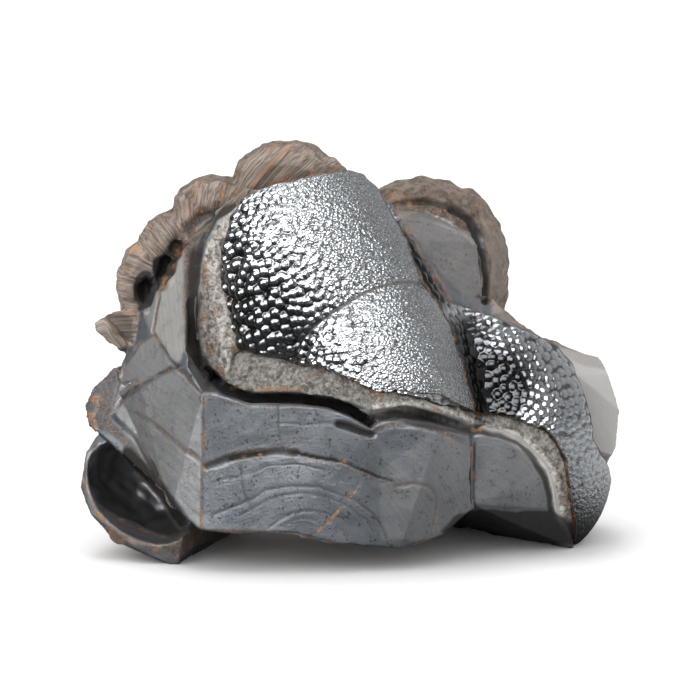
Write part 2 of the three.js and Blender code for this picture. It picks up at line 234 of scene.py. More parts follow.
def normals_of(mesh):
    normals = np.empty(len(mesh.vertices) * 3)
    mesh.vertices.foreach_get("normal", normals)
    return normals.reshape(-1, 3)


def evaluated(piece):
    """A plain mesh of an object with its modifiers' work done."""
    bpy.context.view_layer.update()
    graph = bpy.context.evaluated_depsgraph_get()
    return bpy.data.meshes.new_from_object(piece.evaluated_get(graph))


def even_mesh(mesh, size, onto=None):
    """The closed mesh made again from even little squares, drawn onto a surface if one is given."""
    rough = bpy.data.objects.new("rough", mesh)
    bpy.context.scene.collection.objects.link(rough)
    remesh = rough.modifiers.new("even", "REMESH")
    remesh.mode = "VOXEL"
    remesh.voxel_size = size
    if onto:
        wrap = rough.modifiers.new("onto", "SHRINKWRAP")
        wrap.target = onto
        wrap.wrap_method = "NEAREST_SURFACEPOINT"
    even = evaluated(rough)
    points = points_of(even)
    squares = np.empty(len(even.loops), np.int32)
    even.loops.foreach_get("vertex_index", squares)
    bpy.data.objects.remove(rough)
    bpy.data.meshes.remove(even)
    return points, squares.reshape(-1, 4)


def finished(name, mesh, body="root"):
    """Makes a mesh in drawn millimetres a piece of the lump in its real place."""
    points = to_place(points_of(mesh))
    edge = 1e-5
    low = np.array(cad_low) + edge
    high = np.array(cad_high) - edge
    mesh.vertices.foreach_set("co", np.clip(points, low, high).ravel())
    mesh.shade_smooth()
    mesh.update()
    piece = bpy.data.objects.new(name, mesh)
    bpy.context.scene.collection.objects.link(piece)
    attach(piece, body)
    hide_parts(LUMP)
    return piece


def mark(mesh, name, values):
    """Stores one number for each point, for the finish to read."""
    layer = mesh.attributes.new(name, "FLOAT", "POINT")
    layer.data.foreach_set("value", np.asarray(values, np.float32))


# Camera, light and floor

def metres(point):
    return Vector(to_place(np.array(point, float)))


def aimed(thing, place, target):
    thing.location = metres(place)
    direction = metres(target) - thing.location
    thing.rotation_euler = direction.to_track_quat("-Z", "Y").to_euler()
    bpy.context.scene.collection.objects.link(thing)


def place_camera():
    slope = math.atan(SIGHT_SLOPE)
    back = np.array([0, -math.cos(slope), math.sin(slope)])
    data = bpy.data.cameras.new("camera")
    data.lens = SIGHT_LENS
    data.sensor_width = SENSOR
    camera = bpy.data.objects.new("camera", data)
    aimed(camera, SIGHT_TARGET + back * SIGHT_DISTANCE, SIGHT_TARGET)
    bpy.context.scene.camera = camera


def softbox(name, direction, distance, width, height, glow):
    """A soft light in a direction from the lump, as bright on its face as the glow says."""
    data = bpy.data.lights.new(name, "AREA")
    data.shape = "RECTANGLE"
    data.size = width
    data.size_y = height
    data.energy = glow * math.pi * width * height
    light = bpy.data.objects.new(name, data)
    way = np.array(direction, float)
    middle = np.array([0, 0, 45.0])
    aimed(light, middle + way / np.linalg.norm(way) * distance * 1000, middle)


def light_studio():
    softbox("top_softbox", (-0.2, 0.15, 1), 0.9, 0.7, 0.5, 4)
    softbox("front_softbox", (-0.5, -0.7, 0.75), 1.2, 0.3, 0.3, 2.5)


# Finishes

class Value:
    """A number or colour in a tree of nodes, so that its maths reads as plain expressions."""

    def __init__(self, tree, socket):
        self.tree = tree
        self.socket = socket

    def math(self, operation, first, second):
        return self.tree.node("ShaderNodeMath", {"operation": operation}, {0: first, 1: second})

    def __add__(self, other):
        return self.math("ADD", self, other)

    def __sub__(self, other):
        return self.math("SUBTRACT", self, other)

    def __mul__(self, other):
        return self.math("MULTIPLY", self, other)

    def __truediv__(self, other):
        return self.math("DIVIDE", self, other)

    def __radd__(self, other):
        return self.math("ADD", other, self)

    def __rsub__(self, other):
        return self.math("SUBTRACT", other, self)

    def __rmul__(self, other):
        return self.math("MULTIPLY", other, self)

    def __rtruediv__(self, other):
        return self.math("DIVIDE", other, self)

    def between(self, low, high):
        """0 below low, 1 above high, and a smooth rise between them."""
        return self.tree.node(
            "ShaderNodeMapRange", {"interpolation_type": "SMOOTHSTEP"},
            {"Value": self, "From Min": low, "From Max": high})


class Tree:
    """A tree of nodes under construction."""

    def __init__(self, tree):
        self.tree = tree

    def node(self, kind, settings=None, inputs=None, output=0):
        """Adds one node: its settings first, then the values or links of its sockets."""
        made = self.tree.nodes.new(kind)
        for name, value in (settings or {}).items():
            setattr(made, name, value)
        for key, value in (inputs or {}).items():
            if isinstance(value, Value):
                self.tree.links.new(value.socket, made.inputs[key])
            else:
                made.inputs[key].default_value = value
        return Value(self, made.outputs[output] if made.outputs else None)

    def vector(self, operation, first, second=None, scale=None, output=0):
        inputs = {0: first}
        if second is not None:
            inputs[1] = second
        if scale is not None:
            inputs["Scale"] = scale
        return self.node("ShaderNodeVectorMath", {"operation": operation}, inputs, output)

    def blend(self, share, first, second):
        """The first colour where the share is 0, the second where it is 1."""
        tone = [value if isinstance(value, Value) else (*value, 1) for value in (first, second)]
        return self.node("ShaderNodeMix", {"data_type": "RGBA"},
                         {0: share, 6: tone[0], 7: tone[1]}, output=2)


class Finish(Tree):
    """A material."""

    def __init__(self, name):
        self.material = bpy.data.materials.new(name)
        self.material.use_nodes = True
        super().__init__(self.material.node_tree)
        self.tree.nodes.clear()

    def place(self):
        """A point's place on the object, in millimetres."""
        here = self.node("ShaderNodeTexCoord", output="Object")
        return self.vector("SCALE", here, scale=1000.0)

    def marked(self, name, output="Fac"):
        return self.node("ShaderNodeAttribute", {"attribute_name": name}, output=output)

    def noise(self, place, scale, detail=3.0, rough=0.55):
        """Cloudy noise about 0.5, with the given number of swells to the millimetre."""
        return self.node("ShaderNodeTexNoise", None, {
            "Vector": place, "Scale": scale, "Detail": detail, "Roughness": rough})

    def cells(self, place, scale):
        """Distance from the middle of the nearest of many small cells."""
        return self.node("ShaderNodeTexVoronoi", None, {"Vector": place, "Scale": scale},
                         output="Distance")

    def bump(self, height, distance):
        """A bumped normal, whose height is given in millimetres."""
        return self.node("ShaderNodeBump", None, {
            "Height": height, "Distance": distance / 1000, "Strength": 1.0})

    def done(self, specular=0.5, **sockets):
        names = {name.replace("_", " ").title(): value for name, value in sockets.items()}
        names["Specular IOR Level"] = specular
        surface = self.node("ShaderNodeBsdfPrincipled", None, names)
        self.node("ShaderNodeOutputMaterial", None, {"Surface": surface})
        return self.material


def floor_finish():
    """A pale floor, which shows in the bright ore only from the right."""
    finish = Finish("pale_floor")
    place = finish.place()
    far = finish.vector("LENGTH", place, output="Value")
    right = finish.node("ShaderNodeSeparateXYZ", None, {0: place}, output="X")
    rays = finish.node("ShaderNodeLightPath", output="Is Glossy Ray")
    seen = finish.blend(far.between(200.0, 900.0), (0.8, 0.8, 0.8), (0.97, 0.97, 0.97))
    shown = finish.blend(right.between(50.0, 120.0), (0.02, 0.02, 0.02), (0.9, 0.9, 0.9))
    return finish.done(base_color=finish.blend(rays, seen, shown), roughness=0.9)


def lay_floor():
    reach = 3.0
    corners = [(-reach, -reach, 0), (reach, -reach, 0), (reach, reach, 0), (-reach, reach, 0)]
    mesh = bpy.data.meshes.new("floor")
    mesh.from_pydata(corners, [], [(0, 1, 2, 3)])
    mesh.materials.append(floor_finish())
    floor = bpy.data.objects.new("floor", mesh)
    bpy.context.scene.collection.objects.link(floor)


def window(studio, way, azimuth, elevation, width, height):
    """1 for the directions in which a soft-edged window is seen, and 0 elsewhere."""
    turn = (Matrix.Rotation(math.radians(azimuth), 3, "Z")
            @ Matrix.Rotation(math.radians(-elevation), 3, "X"))
    ahead, across, rise = (
        studio.vector("DOT_PRODUCT", way, turn @ Vector(axis), output="Value")
        for axis in ((0, -1, 0), (1, 0, 0), (0, 0, 1)))
    across = across / ahead / width
    rise = rise / ahead / height
    return ((1 - (across * across).between(0.04, 0.3)) * (1 - (rise * rise).between(0.04, 0.3))
            * ahead.between(0.0, 0.1))


def light_world():
    """A white surround, which the bright ore shows as a dim studio with two windows in front."""
    world = bpy.data.worlds.new("studio")
    bpy.context.scene.world = world
    bpy.context.scene.view_settings.view_transform = "Standard"
    world.cycles.sampling_method = "NONE"
    world.use_nodes = True
    world.node_tree.nodes.clear()
    studio = Tree(world.node_tree)
    way = studio.node("ShaderNodeTexCoord", output="Generated")
    right, back, up = (studio.node("ShaderNodeSeparateXYZ", None, {0: way}, output=axis)
                       for axis in "XYZ")
    glow = (0.04 + 0.75 * right.between(0.3, 0.85) + 0.5 * up.between(0.45, 0.9)
            + 0.6 * back.between(0.0, 0.8)
            + 17 * window(studio, way, -14, 31, 1.0, 0.62)
            + 16 * window(studio, way, -54, 14, 0.5, 0.45))
    mirror = studio.node("ShaderNodeLightPath", output="Is Glossy Ray")
    level = 1.12 - mirror * (1.12 - glow)
    light = studio.node("ShaderNodeBackground", None, {"Color": (1, 1, 1, 1), "Strength": level})
    studio.node("ShaderNodeOutputWorld", None, {"Surface": light})


# The bright skin

# Outlines of the skin as seen along the sight slope, as X and Z at one depth
FRONT_DEPTH = -24.0
FRONT_OUTLINE = roughened([
    (-23.4, 80.4), (-26, 74.9), (-27.5, 69.5), (-28.2, 63), (-28.3, 56.6), (-27.7, 50.1),
    (-25.3, 46.8), (-20.4, 45.9), (-14, 44.4), (-6.4, 42.7), (0, 40.5), (5.4, 37.7), (11.8, 38.1),
    (19.8, 37), (26.7, 33.7), (25.2, 39.9), (23.3, 46.6), (22.7, 49.4), (19.7, 56.3), (15.8, 62),
    (11.5, 72.2), (10.7, 74), (8.3, 78.8), (6.8, 82), (3, 85.5), (-0.4, 86.2), (-6.4, 85.3),
    (-14.9, 83.2),
], 0.45, 21)
RIGHT_DEPTH = -17.0
RIGHT_OUTLINE = roughened([
    (10.5, 74), (12.8, 71), (15.4, 66.2), (19, 60.5), (21.5, 56.6), (26, 55.5), (30.3, 53.6),
    (36.8, 50.7), (42.2, 48.3), (46, 45.7), (48.8, 42.4), (50.6, 38), (52.2, 32.5), (53.3, 25.9),
    (55.8, 21.4), (59, 15.9), (59, 6), (54, -2), (49.7, 2.3), (49.4, 8.1), (48.5, 12.5),
    (47.1, 20.3), (44.9, 25.4), (42.2, 28.1), (37.9, 29.8), (31.5, 31.6), (27, 32.5), (10, 36),
], 0.45, 31)


def lobe_mesh(name, lobes):
    """Closed lobes that pass through each other, as one mesh."""
    sphere = bpy.data.meshes.new("sphere")
    net = bmesh.new()
    bmesh.ops.create_icosphere(net, subdivisions=6, radius=1)
    net.to_mesh(sphere)
    net.free()
    directions = points_of(sphere)
    faces = np.array([face.vertices[:] for face in sphere.polygons])
    bpy.data.meshes.remove(sphere)
    points = np.concatenate([lobe.surface(directions) for lobe in lobes])
    steps = [faces + index * len(directions) for index in range(len(lobes))]
    return mesh_of(name, points, np.concatenate(steps))


def over_lobes(points, lobes, soft):
    """Distance outside the union of lobes, whose creases are softened over the given width."""
    heights, normals = zip(*(lobe.over(points) for lobe in lobes))
    heights = np.array(heights)
    lowest = heights.min(0)
    weights = np.exp(-(heights - lowest) / soft)
    total = weights.sum(0)
    weights /= total
    normal = (weights[:, :, None] * np.array(normals)).sum(0)
    normal /= np.linalg.norm(normal, axis=1)[:, None]
    return lowest - soft * np.log(total), normal


def sight_place(points, depth):
    """X and Z of points carried along the sight slope to one depth."""
    return np.stack([points[:, 0], points[:, 2] + (points[:, 1] - depth) * SIGHT_SLOPE], 1)


# Spots where dark reflections are painted on a skin by darkening its colour: a place in the picture,
# a reach in pixels and a share
FRONT_PAINTED_DARK_REFLECTION = [((256, 330), 66, 0.6)]
RIGHT_PAINTED_DARK_REFLECTION = [((490, 388), 58, 0.98), ((462, 350), 45, 0.9), ((425, 268), 60, 0.97)]


def skin_patch(lobes, others, outline, depth, soft, painted_dark_reflection_spots, cad_tree, beside=None):
    """The visible part of some lobes inside an outline and beside another one, with a rim turned
    in at its edge."""
    points, squares = even_mesh(lobe_mesh("lobes", lobes), SKIN_MESH)
    for _ in range(3):
        height, normal = over_lobes(points, lobes, soft)
        points -= height[:, None] * normal
    middles = points[squares].mean(1)
    keep = inside(sight_place(middles, depth), outline) & (middles[:, 1] < 18)
    for other in others:
        keep &= other.over(middles)[0] > -0.8
    if beside is not None:
        keep &= ~inside(sight_place(middles, FRONT_DEPTH), beside)
    kept = np.nonzero(keep)[0]
    near = np.array([cad_tree.find_nearest(Vector(middles[index]), SKIN_REACH)[3] or 9
                     for index in kept])
    squares = squares[kept[near < SKIN_REACH]]
    used, squares = np.unique(squares, return_inverse=True)
    squares = squares.reshape(-1, 4)
    points = points[used]
    normal = over_lobes(points, lobes, soft)[1]

    sides = np.stack([squares, np.roll(squares, -1, 1)], 2).reshape(-1, 2)
    width = len(points)
    forth = sides[:, 0].astype(np.int64) * width + sides[:, 1]
    back = sides[:, 1].astype(np.int64) * width + sides[:, 0]
    border = sides[~np.isin(forth, back)]
    rim = np.unique(border)
    spots = sight_place(points[rim], depth)
    far, nearest = path_distance(spots, outline, closed=True)
    snap = far < SKIN_MESH * 1.5
    points[rim[snap], 0] = nearest[snap, 0]
    points[rim[snap], 2] += nearest[snap, 1] - spots[snap, 1]

    edge_far = path_distance(sight_place(points, depth), outline, closed=True)[0]
    if beside is not None:
        gap = path_distance(sight_place(points, FRONT_DEPTH), beside, closed=True)[0]
        edge_far = np.minimum(edge_far, gap)
    crease = np.min([np.abs(other.over(points)[0]) for other in others] + [np.full(width, 9.0)], 0)
    spots = seen_at(points)
    # Painted dark reflection: how far the skin's colour is darkened at each point
    dim = np.zeros(width)
    for spot, reach, share in painted_dark_reflection_spots:
        away = np.linalg.norm(spots - np.array(spot, float), axis=1) / reach
        dim = np.maximum(dim, share * smooth(1.0, 0.55, away))
    swell = smooth(0.0, 0.7, edge_far) * smooth(0.0, 0.5, crease)
    inner = points[rim] - normal[rim] * RIM_DEPTH
    twin = np.full(width, -1)
    twin[rim] = np.arange(len(rim)) + width
    wall = np.stack([border[:, 1], border[:, 0], twin[border[:, 0]], twin[border[:, 1]]], 1)
    mesh = mesh_of("skin", np.concatenate([points, inner]), np.concatenate([squares, wall]))
    mark(mesh, "swell", np.concatenate([swell, np.zeros(len(rim))]))
    mark(mesh, "edge", np.concatenate([1 - smooth(0.0, 0.55, edge_far), np.ones(len(rim))]))
    mark(mesh, "crease", np.concatenate([1 - smooth(0.0, 0.3, crease), np.zeros(len(rim))]))
    # The painted dark reflection, stored for the finish to read as dim
    mark(mesh, "dim", np.concatenate([dim, np.zeros(len(rim))]))
    return mesh


class Growth(Tree):
    """A Geometry Nodes tree with named inputs."""

    def __init__(self, name):
        super().__init__(bpy.data.node_groups.new(name, "GeometryNodeTree"))
        self.sockets = {}
        for way in ("INPUT", "OUTPUT"):
            self.tree.interface.new_socket("Geometry", in_out=way,
                                           socket_type="NodeSocketGeometry")
        self.source = self.tree.nodes.new("NodeGroupInput")

    def named(self, name, kind, default=None):
        """A named input of the tree."""
        socket = self.tree.interface.new_socket(name, in_out="INPUT", socket_type=kind)
        if default is not None:
            socket.default_value = default
        self.sockets[name] = socket.identifier
        return Value(self, self.source.outputs[name])

    def geometry(self):
        return Value(self, self.source.outputs["Geometry"])

    def ends_in(self, geometry, material):
        real = self.node("GeometryNodeRealizeInstances", None, {0: geometry})
        covered = self.node("GeometryNodeSetMaterial", None,
                            {"Geometry": real, "Material": material})
        self.node("NodeGroupOutput", None, {0: covered})


def small_domes():
    """Packs small domes over a skin. They grow finer towards a point beside the skin, because
    they are spread evenly over the skin turned inside out about that point."""
    growth = Growth("small_domes")
    skin = growth.geometry()
    fine_point = growth.named("Fine Point", "NodeSocketVector")
    spacing = growth.named("Spacing", "NodeSocketFloat", 2.0)
    reach = growth.named("Reach", "NodeSocketFloat", 60.0)
    rise = growth.named("Rise", "NodeSocketFloat", 0.2)
    crowding = growth.named("Crowding", "NodeSocketFloat", 2.5)
    seed = growth.named("Seed", "NodeSocketInt", 1)
    material = growth.named("Finish", "NodeSocketMaterial")

    place = growth.node("GeometryNodeInputPosition")
    out_from = growth.vector("SUBTRACT", place, fine_point)
    far = growth.vector("LENGTH", out_from, output="Value")
    turned = growth.vector("SCALE", out_from, scale=reach * reach / (far * far))
    local = spacing * (far * far) / (reach * reach)

    turned_skin = growth.node("GeometryNodeSetPosition", None,
                              {"Geometry": skin, "Position": turned})
    tops = growth.node(
        "GeometryNodeDistributePointsOnFaces", {"distribute_method": "POISSON"},
        {"Mesh": turned_skin, "Distance Min": spacing,
         "Density Max": crowding / (spacing * spacing), "Seed": seed})
    nearest = growth.node("GeometryNodeSampleNearest", {"domain": "POINT"},
                          {"Geometry": tops, "Sample Position": turned})
    top = growth.node("GeometryNodeSampleIndex", {"data_type": "FLOAT_VECTOR", "domain": "POINT"},
                      {"Geometry": tops, "Value": place, "Index": nearest})
    away = growth.vector("DISTANCE", turned, top, output="Value") / spacing
    swell = growth.node("GeometryNodeInputNamedAttribute", {"data_type": "FLOAT"},
                        {"Name": "swell"})
    luck = growth.node("FunctionNodeRandomValue", {"data_type": "FLOAT"},
                       {"Min": 0.75, "Max": 1.25, "ID": nearest, "Seed": seed}, output="Value")
    share = local / spacing
    dome = (1 - away * away * 2.0) * rise * luck * local * (0.45 + 0.55 * share) * swell
    normal = growth.node("GeometryNodeInputNormal")
    offset = growth.vector("SCALE", normal, scale=dome)
    domed = growth.node("GeometryNodeSetPosition", None, {"Geometry": skin, "Offset": offset})
    for name, value in (("valley", away), ("size", local)):
        domed = growth.node(
            "GeometryNodeStoreNamedAttribute", {"data_type": "FLOAT", "domain": "POINT"},
            {"Geometry": domed, "Name": name, "Value": value})
    growth.ends_in(domed, material)
    return growth


def grown(mesh, growth, inputs):
    """The mesh after a tree has worked on it."""
    piece = bpy.data.objects.new("growing", mesh)
    bpy.context.scene.collection.objects.link(piece)
    modifier = piece.modifiers.new("growth", "NODES")
    modifier.node_group = growth.tree
    for name, value in inputs.items():
        modifier[growth.sockets[name]] = value
    result = evaluated(piece)
    bpy.data.objects.remove(piece)
    return result


def skin_finish():
    """Mirror-bright ore, rusty at its edge, darker and duller in its creases and grainy where its
    domes are fine, with painted shade in the valleys between its domes and painted dark reflections
    in the dim spots.
    """
    finish = Finish("bright_skin")
    place = finish.place()
    valley = finish.marked("valley")
    edge = finish.marked("edge")
    crease = finish.marked("crease")
    fine = 1 - finish.marked("size").between(0.75, 1.6)
    grain = finish.noise(place, 3.0, 4.0)
    speck = finish.cells(place, 1.9)
    rust = finish.noise(place, 0.9, 3.0).between(0.52, 0.66)
    tone = finish.blend(finish.noise(place, 0.12), (0.25, 0.265, 0.275), (0.31, 0.325, 0.34))
    # Painted dark reflection: the skin nearly black in the dim spots
    tone = finish.blend(finish.marked("dim"), tone, (0.013, 0.014, 0.015))
    # Painted shade: the valleys between the domes darkened nearly to black
    tone = finish.blend(valley.between(0.5, 0.75) * (0.75 - 0.6 * fine), tone, (0.03, 0.028, 0.028))
    grit = (speck.between(0.3, 0.6) + grain.between(0.5, 0.7)) * fine * 0.4
    tone = finish.blend(grit, tone, (0.08, 0.08, 0.08))
    border = finish.blend(rust, (0.07, 0.055, 0.045), (0.3, 0.12, 0.05))
    tone = finish.blend((edge + 0.6 * grain).between(0.95, 1.2), tone, border)
    tone = finish.blend(crease * 0.8, tone, (0.06, 0.045, 0.035))
    return finish.done(
        base_color=tone, metallic=0.97 - 0.6 * crease,
        roughness=0.13 + 0.12 * grain + 0.06 * fine + 0.4 * edge.between(0.5, 1.0),
        normal=finish.bump((speck * 0.8 + grain * 0.4) * (0.08 + fine), 0.22))


def make_skins(cad_tree):
    domes = small_domes()
    finish = skin_finish()
    front = (UPPER_LOBE, LEFT_LOBE)
    upper = skin_patch(front, [LOWER_LOBE], FRONT_OUTLINE, FRONT_DEPTH, 1.2, FRONT_PAINTED_DARK_REFLECTION, cad_tree)
    lower = skin_patch([LOWER_LOBE], front, FRONT_OUTLINE, FRONT_DEPTH, 0.4, FRONT_PAINTED_DARK_REFLECTION, cad_tree)
    right = skin_patch(RIGHT_LOBES, [], RIGHT_OUTLINE, RIGHT_DEPTH, 0.8, RIGHT_PAINTED_DARK_REFLECTION, cad_tree,
                       beside=FRONT_OUTLINE)
    for name, patch, fine_point, spacing, reach, rise, crowding, seed in (
        ("upper_skin", upper, (34.0, -16.0, 92.0), 2.45, 76.0, 0.26, 2.5, 3),
        ("lower_skin", lower, (50.0, -28.0, 50.0), 1.6, 61.0, 0.22, 2.5, 5),
        ("right_skin", right, (110.0, 0.0, -110.0), 1.5, 160.0, 0.15, 9.0, 7),
    ):
        finished(name, grown(patch, domes, {
            "Fine Point": fine_point, "Spacing": spacing, "Reach": reach, "Rise": rise,
            "Crowding": crowding, "Seed": seed, "Finish": finish}))


# The lump under and around the skin

# Marks on the front. Each is a path of pixels in the picture, its width there in pixels, how far
# it stands out in millimetres, and the shares of the finishes on it.
LEDGE = [
    (207, 466), (228, 459), (253, 454.5), (277, 452), (297, 453.5), (322, 458), (340, 461),
    (359, 469), (377, 476), (393, 481),
]
STROKES = [
    # The ledge over the rings, with a painted shadow line along it, and the rings
    ([(x, y + 4) for x, y in LEDGE], 5, 0, {"brown": 0.35}),
    # Painted shadow: the near-black line along the ledge
    (LEDGE[:5], 5.5, -0.3, {"dark": 1}),
    (LEDGE[4:], 3.2, -0.15, {"dark": 1}),
    ([(207, 461), (228, 454.5), (253, 450), (277, 448), (297, 449.5)], 4, 0.05, {"brown": 0.8}),
    ([(231, 459), (261, 455)], 3, 0.1, {"rust": 0.8}),
    ([(338, 460), (345, 462)], 3, 0.1, {"rust": 0.8}),
    ([(376, 475), (393, 481)], 3, 0.1, {"rust": 0.8}),
    ([(213, 484), (224, 479), (240, 476), (250, 473), (268, 465.5), (286, 464), (306, 465.5),
      (324, 470)], 2, -0.05, {"dark": 0.45}),
    ([(212, 515), (231, 507), (248, 501), (268, 489), (293, 485), (319, 487), (340, 495),
      (350, 498), (359, 503.5), (373, 514.5), (382, 527), (385.5, 538)], 2.2, -0.07, {"dark": 0.6}),
    ([(240, 515.5), (253, 509), (268, 500), (286, 494), (299, 492.5), (322, 496), (344, 503.5),
      (355, 511), (366, 520), (373, 531)], 2, -0.05, {"dark": 0.5}),
    ([(269.5, 527), (282, 518), (293, 512.5), (308, 510), (319, 512.5), (330, 515.5)], 2.4, -0.08,
     {"dark": 0.4}),
    ([(282, 525.5), (293, 520), (304, 518), (315, 521)], 2.2, -0.06, {"dark": 0.4}),
    ([(397, 485.5), (413, 483), (427.5, 486.5), (436, 496.5), (436.5, 511), (433, 525.5)], 3.5,
     -0.12, {"brown": 0.7}),
    # Worn edges between the faces
    ([(204, 394), (232, 404), (262, 405), (300, 406), (340, 411), (372, 430)], 4, 0,
     {"brown": 0.5}),
    ([(203, 394), (204, 430), (203, 465), (201, 532)], 3.5, 0, {"brown": 0.5, "rust": 0.3}),
    ([(200, 532), (268, 530), (350, 547), (392, 550), (440, 545)], 4, 0, {"brown": 0.5}),
    # Cracks
    ([(309.5, 537), (320.5, 528), (330.5, 521), (338.5, 511), (349.5, 498), (358.5, 484.5)], 2.4,
     -0.04, {"rust": 0.8}),
    ([(277, 405), (278.5, 416), (279.5, 431), (282, 450)], 2, -0.1, {"dark": 0.6}),
    ([(240.5, 467), (242.5, 482), (244, 493), (247, 501), (253, 511)], 2, -0.04, {"dark": 0.5}),
    ([(280.5, 423.5), (337, 424.5)], 1.8, -0.08, {"dark": 0.4}),
    ([(471.5, 427), (472, 450), (472.5, 475), (473, 504)], 3.5, -0.5, {"dark": 0.9}),
    ([(472, 448), (472.5, 475), (473, 484)], 4, -0.1, {"rust": 1.0}),
    # Painted shade: the deep gap under the rind's edge darkened to black
    ([(338.5, 424.5), (349.5, 426.5), (362, 431.5), (371.5, 434.5)], 6, -0.9, {"dark": 1}),
    # The grooves under the rind, near black inside as painted shade, with brown sides whose brown is
    # partly painted shade on their walls
    ([(193, 235), (190, 262), (190, 300), (190, 340), (197, 368), (207, 388)], 12, 0,
     {"brown": 0.85}),
    ([(240, 197), (220, 208), (204, 222), (190, 240)], 14, 0, {"brown": 0.5}),
    ([(205, 262), (203, 300), (206, 345)], 6, 0, {"rust": 0.45}),
    ([(229, 300), (232, 330), (235, 350)], 5, 0, {"rust": 0.4}),
    ([(350, 378), (362, 384), (378, 391)], 6, 0, {"rust": 0.7}),
    ([(211, 350), (217, 364), (224, 374)], 6, 0, {"rust": 0.5}),
    # Painted shade: the grooves' insides darkened to near black
    ([(195, 255), (193, 290), (194, 340), (200, 362)], 13, -0.4, {"dark": 0.95}),
    ([(232, 205), (214, 219), (202, 240), (196, 262)], 7, -0.3, {"dark": 0.85}),
    ([(198, 362), (225, 388), (250, 398.5), (300, 399), (330, 403), (350, 408), (372, 422)], 10,
     -0.3, {"dark": 1}),
    ([(232, 388), (262, 389), (300, 389)], 5, 0.3, {"rust": 0.5}),
    ([(374, 417), (404, 412.5), (431, 416), (453, 422), (471, 429)], 13, -0.4, {"dark": 0.8}),
    ([(375, 424.5), (395, 419), (422, 421), (449.5, 426.5), (470, 433)], 5, 0.15, {"light": 0.6}),
    ([(377, 429), (395, 425), (413, 425), (431, 428.5), (449.5, 435), (462, 442)], 5, -0.1,
     {"brown": 0.7}),
    # The recessed face at the right, with painted shadow along its edge under the rind's wall
    ([(474, 431), (500, 434), (520, 444), (535, 460), (545, 480), (549, 498), (551, 512)], 6,
     -0.5, {"dark": 0.85}),
    ([(476, 428), (496, 430)], 5, 0.1, {"rust": 0.7}),
    # Seams of the faces at the left
    ([(184, 243), (172, 262), (160, 292), (153, 330), (160, 345), (172, 364), (200, 392)], 3,
     -0.25, {"brown": 0.8, "rust": 0.35}),
    ([(177, 366), (156, 376), (128, 391), (117.5, 406.5)], 3, -0.3, {"dark": 0.8, "rust": 0.4}),
    ([(153, 334), (140, 345), (122, 368), (113, 402)], 3, -0.2, {"brown": 0.7}),
    ([(224, 206), (207, 221), (194, 243)], 2, -0.15, {"dark": 0.5}),
    ([(219, 208), (203, 224), (190, 246)], 2, -0.15, {"brown": 0.6}),
    ([(204, 214), (186, 232), (170, 262), (160, 285)], 14, -0.6, {"brown": 0.8}),
    ([(137.5, 414), (159, 429.5), (175.5, 443), (189.5, 452.5), (200, 460)], 5, -0.12,
     {"brown": 0.6}),
    ([(113, 415.5), (133, 434), (145, 452.5), (157, 475.5)], 4, -0.4, {"dark": 0.8}),
    ([(90, 422), (113, 429), (128, 445), (140.5, 461.5), (157, 478)], 10, 0, {"brown": 0.6}),
    ([(160, 480), (162, 498), (176, 517), (189, 532)], 4, -0.1, {"brown": 0.6}),
    ([(96, 396), (90, 418), (93, 428)], 8, 0.3, {"brown": 0.5, "rust": 0.5}),
    # The corner behind at the right, with a gap inside its hooked rim
    ([(398, 206), (420, 206), (445, 212), (468, 226)], 13, 0, {"brown": 0.9}),
    ([(452, 209), (470, 220), (480, 245), (485, 275), (486, 300)], 7, -1.0, {"dark": 0.9}),
    ([(398, 218), (420, 220), (440, 225), (462, 234), (478, 246)], 4, 0.25, {"light": 0.7}),
    ([(403, 203), (425, 202), (450, 207)], 5, -0.4, {"dark": 0.7}),
    ([(386, 186), (394, 194), (404, 204), (416, 205)], 7, 0.2, {"rust": 0.7}),
    ([(391, 183), (402, 190), (413, 196)], 5, 0.2, {"rust": 0.7}),
    # The rough edge beside the strip of skin between the corner and the front
    ([(408, 230), (418, 252), (437, 282), (449, 300)], 5, 0.3, {"brown": 0.7, "rust": 0.5}),
    # The crust's seams
    ([(184, 194), (192, 203), (201, 212)], 2.5, -0.3, {"rust": 0.9}),
    ([(223, 180), (221, 205)], 2.5, -0.3, {"rust": 0.9}),
    ([(139, 222), (152, 240), (168, 250)], 2.5, -0.3, {"rust": 0.7}),
    ([(120, 262), (134, 276), (146, 284)], 2.5, -0.3, {"rust": 0.7}),
    ([(240, 193), (262, 186), (300, 174), (350, 166)], 6, 0.1, {"rust": 0.55, "brown": 0.3}),
    # Painted shade: near black along the hollow's inner wall under the shell's rim
    ([(128, 454), (147, 474), (165, 496), (182, 522)], 13, 0, {"dark": 1}),
    # Rusty edges of the hollow shell
    ([(88, 446), (81, 473), (88, 500), (101, 519), (115, 540), (161, 551), (176, 562), (189, 549),
      (199, 532)], 5, 0.1, {"rust": 0.4, "brown": 0.6}),
    ([(122, 520), (150, 533), (172, 541), (188, 533)], 4, 0.2, {"rust": 0.5, "brown": 0.5}),
]
BLOCK_OUTLINE = [
    (525, 333), (545, 336), (607, 360), (622, 410), (617, 458), (598, 452), (575, 395), (548, 352),
]
